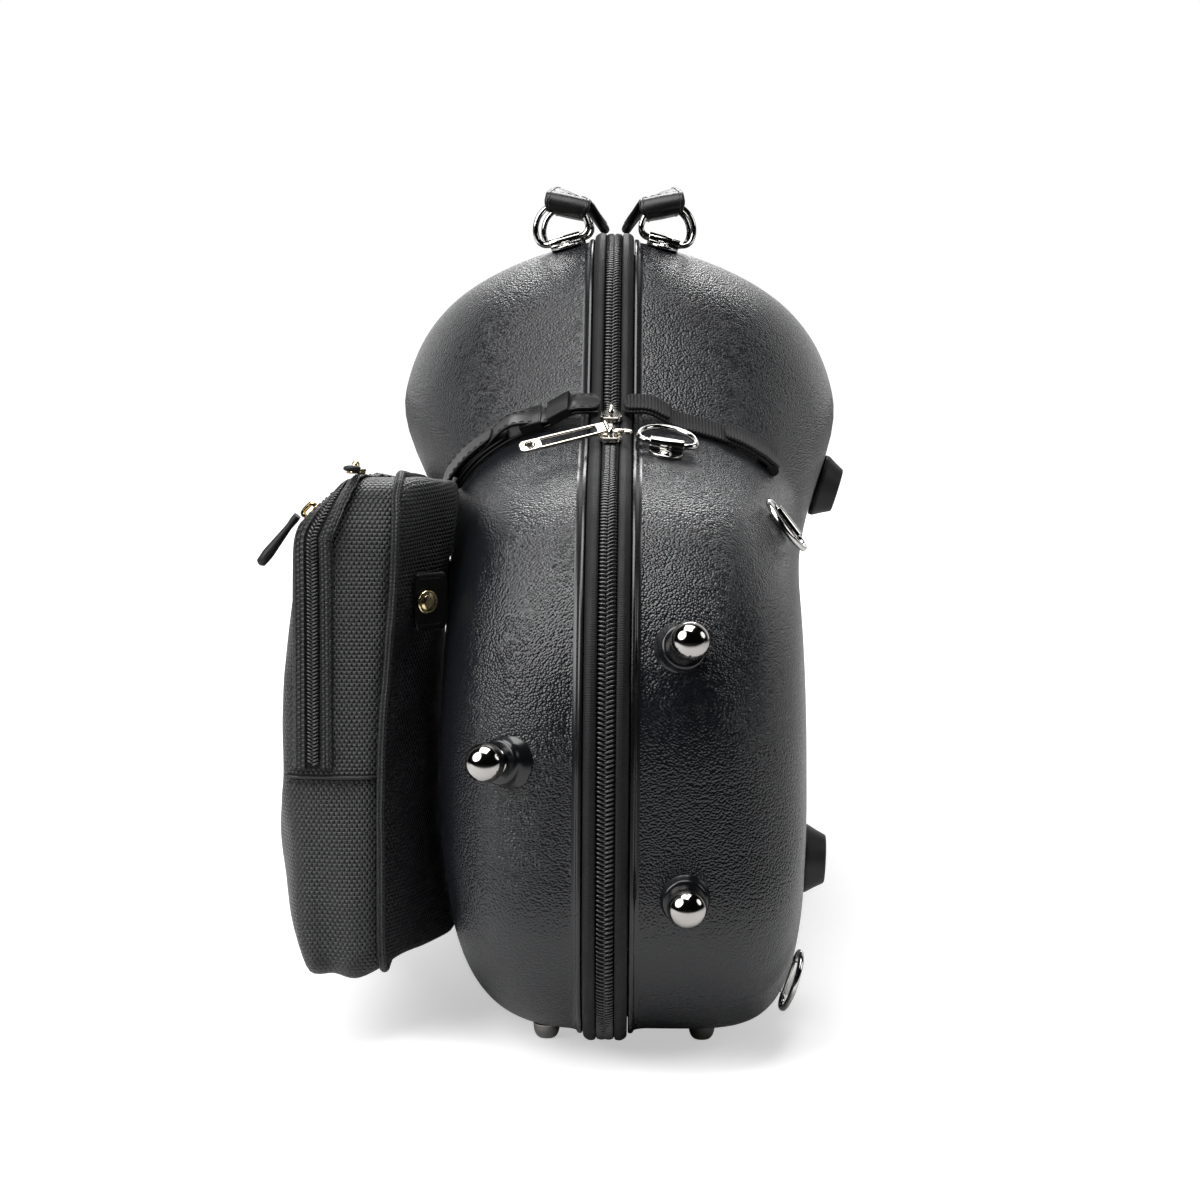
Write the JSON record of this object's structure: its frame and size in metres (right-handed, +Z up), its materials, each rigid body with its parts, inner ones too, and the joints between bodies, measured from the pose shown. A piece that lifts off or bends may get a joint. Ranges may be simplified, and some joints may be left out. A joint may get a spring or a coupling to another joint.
{
  "type": "tenor saxophone case",
  "caption": "Moulded tenor saxophone case on its long edge: two hinged shells, zip, paired strap handles, rings, closure strap and a side pocket with an opening front.",
  "frame": {"origin": "middle of the footprint of the bounding box, on the floor that the case stands on", "axes": "+Z up, +Y from the bow end to the neck end, +X from the lid with the pocket to the base with the pads"},
  "size_m": [0.2572, 0.8095, 0.3612],
  "materials": {
    "shell": "satin",
    "foam": "matte",
    "rubber": "matte",
    "coil": "satin",
    "webbing": "matte",
    "nylon": "matte",
    "leather": "satin",
    "chrome": "polished",
    "dark_metal": "polished",
    "nickel": "satin",
    "gold": "polished"
  },
  "bodies": {
    "base": {"base_shell": "shell", "base_liner": "foam", "base_welt": "rubber", "base_zip_coil": "coil", "base_hinge_leaf": "webbing", "back_pad_dome": "rubber", "back_pad_bow": "rubber", "back_pad_middle": "rubber", "back_pad_neck": "rubber", "end_foot_upper": "chrome", "end_foot_lower": "chrome", "bottom_foot_base_near": "dark_metal", "bottom_foot_base_far": "dark_metal", "shelf_plate": "chrome", "strap_near_upper_plate": "chrome", "strap_near_lower_plate": "chrome", "strap_far_upper_plate": "chrome", "strap_far_lower_plate": "chrome", "handle_base_near_plate": "chrome", "handle_base_far_plate": "chrome", "closure_strap_base": "webbing", "bow_cradle": "foam", "neck_cradle": "foam"},
    "lid": {"lid_shell": "shell", "lid_liner": "foam", "lid_welt": "rubber", "lid_zip_coil": "coil", "lid_hinge_leaf": "webbing", "end_foot_lid": "chrome", "bottom_foot_lid_near": "dark_metal", "bottom_foot_lid_far": "dark_metal", "handle_lid_near_plate": "chrome", "handle_lid_far_plate": "chrome", "closure_strap_lid": "leather", "closure_keeper_inner": "leather", "closure_keeper_outer": "leather", "pocket_body": "nylon", "pocket_tab_near": "leather", "pocket_tab_far": "leather", "pocket_snap": "gold"},
    "base_near_ring": {"handle_base_near_ring": "chrome"},
    "base_far_ring": {"handle_base_far_ring": "chrome"},
    "base_grip": {"base_handle": "leather"},
    "lid_near_ring": {"handle_lid_near_ring": "chrome"},
    "lid_far_ring": {"handle_lid_far_ring": "chrome"},
    "lid_grip": {"lid_handle": "leather"},
    "ring_shelf": {"shelf_ring": "chrome"},
    "ring_near_upper": {"strap_near_upper_ring": "chrome"},
    "ring_near_lower": {"strap_near_lower_ring": "chrome"},
    "ring_far_upper": {"strap_far_upper_ring": "chrome"},
    "ring_far_lower": {"strap_far_lower_ring": "chrome"},
    "slider_near": {"zip_slider_near": "nickel"},
    "slider_far": {"zip_slider_far": "nickel"},
    "pull_long": {"zip_pull_long": "nickel"},
    "hook": {"zip_hook": "nickel"},
    "flap": {"pocket_front": "nylon"},
    "slider_pocket": {"pocket_slider": "gold"},
    "pull_pocket": {"pocket_pull": "rubber"},
    "slider_front": {"front_slider": "gold"},
    "pull_front": {"front_pull": "rubber"}
  },
  "joints": [
    {"name": "lid_hinge", "type": "hinge", "parent": "base", "child": "lid", "pos_m": [0.01561, 0, 0.002], "axis": [0, -1, 0], "range_deg": [0, 105]},
    {"name": "base_near_ring_swing", "type": "hinge", "parent": "base", "child": "base_near_ring", "pos_m": [0.03909, -0.11543, 0.33538], "axis": [0.9643, 0, -0.265], "range_deg": [-16, 16]},
    {"name": "base_far_ring_swing", "type": "hinge", "parent": "base", "child": "base_far_ring", "pos_m": [0.03909, 0.01657, 0.33337], "axis": [0.9643, 0, -0.265], "range_deg": [-16, 16]},
    {"name": "base_grip_swing", "type": "hinge", "parent": "base_near_ring", "child": "base_grip", "pos_m": [0.04055, -0.11543, 0.34068], "axis": [0.9643, 0, -0.265], "range_deg": [-16, 16]},
    {"name": "lid_near_ring_swing", "type": "hinge", "parent": "lid", "child": "lid_near_ring", "pos_m": [-0.00795, -0.11543, 0.33525], "axis": [0.9586, 0, 0.2849], "range_deg": [-16, 16]},
    {"name": "lid_far_ring_swing", "type": "hinge", "parent": "lid", "child": "lid_far_ring", "pos_m": [-0.00795, 0.01657, 0.33321], "axis": [0.9586, 0, 0.2849], "range_deg": [-16, 16]},
    {"name": "lid_grip_swing", "type": "hinge", "parent": "lid_near_ring", "child": "lid_grip", "pos_m": [-0.00951, -0.11543, 0.34052], "axis": [0.9586, 0, 0.2849], "range_deg": [-16, 16]},
    {"name": "shelf_ring_swing", "type": "hinge", "parent": "base", "child": "ring_shelf", "pos_m": [0.03988, -0.26429, 0.25007], "axis": [0.9871, 0, -0.1599], "range_deg": [0, 150]},
    {"name": "near_upper_ring_swing", "type": "hinge", "parent": "base", "child": "ring_near_upper", "pos_m": [0.09168, -0.27307, 0.21724], "axis": [-0.6139, 0, 0.7894], "range_deg": [0, 150]},
    {"name": "near_lower_ring_swing", "type": "hinge", "parent": "base", "child": "ring_near_lower", "pos_m": [0.09471, -0.29445, 0.02284], "axis": [0.3129, 0, 0.9498], "range_deg": [0, 150]},
    {"name": "far_upper_ring_swing", "type": "hinge", "parent": "base", "child": "ring_far_upper", "pos_m": [0.0783, 0.34476, 0.17285], "axis": [0.2307, 0, -0.973], "range_deg": [0, 150]},
    {"name": "far_lower_ring_swing", "type": "hinge", "parent": "base", "child": "ring_far_lower", "pos_m": [0.08244, 0.34463, 0.02884], "axis": [-0.3121, 0, -0.95], "range_deg": [0, 150]},
    {"name": "near_slider_slide", "type": "slide", "parent": "base", "child": "slider_near", "axis": [0, -0.972, -0.2349], "range_m": [0, 0.02]},
    {"name": "far_slider_slide", "type": "slide", "parent": "base", "child": "slider_far", "axis": [0, -0.972, -0.2349], "range_m": [0, 0.014]},
    {"name": "long_pull_lift", "type": "hinge", "parent": "slider_near", "child": "pull_long", "pos_m": [0.01309, -0.26707, 0.25771], "axis": [-0.2588, 0.9389, 0.2269], "range_deg": [0, 95]},
    {"name": "hook_lift", "type": "hinge", "parent": "slider_near", "child": "hook", "pos_m": [0.01701, -0.26869, 0.25621], "axis": [0, -0.972, -0.2349], "range_deg": [0, 90]},
    {"name": "flap_hinge", "type": "hinge", "parent": "lid", "child": "flap", "pos_m": [-0.12039, -0.34343, 0.118], "axis": [0, -0.9992, 0.0404], "range_deg": [0, 80]},
    {"name": "pocket_slider_slide", "type": "slide", "parent": "lid", "child": "slider_pocket", "axis": [0, 0.995, -0.0995], "range_m": [0, 0.2]},
    {"name": "pocket_pull_lift", "type": "hinge", "parent": "slider_pocket", "child": "pull_pocket", "pos_m": [-0.09039, -0.31694, 0.24326], "axis": [-1, 0, 0], "range_deg": [0, 90]},
    {"name": "front_slider_slide", "type": "slide", "parent": "flap", "child": "slider_front", "axis": [0, 0.9959, -0.0905], "range_m": [0, 0.15]},
    {"name": "front_pull_lift", "type": "hinge", "parent": "slider_front", "child": "pull_front", "pos_m": [-0.11424, -0.32443, 0.2242], "axis": [0, 1, 0], "range_deg": [0, 90]}
  ],
  "couplings": [
    {"joint": "base_far_ring_swing", "follows": "base_near_ring_swing", "ratio": 1},
    {"joint": "base_grip_swing", "follows": "base_near_ring_swing", "ratio": -1},
    {"joint": "lid_far_ring_swing", "follows": "lid_near_ring_swing", "ratio": 1},
    {"joint": "lid_grip_swing", "follows": "lid_near_ring_swing", "ratio": -1}
  ]
}
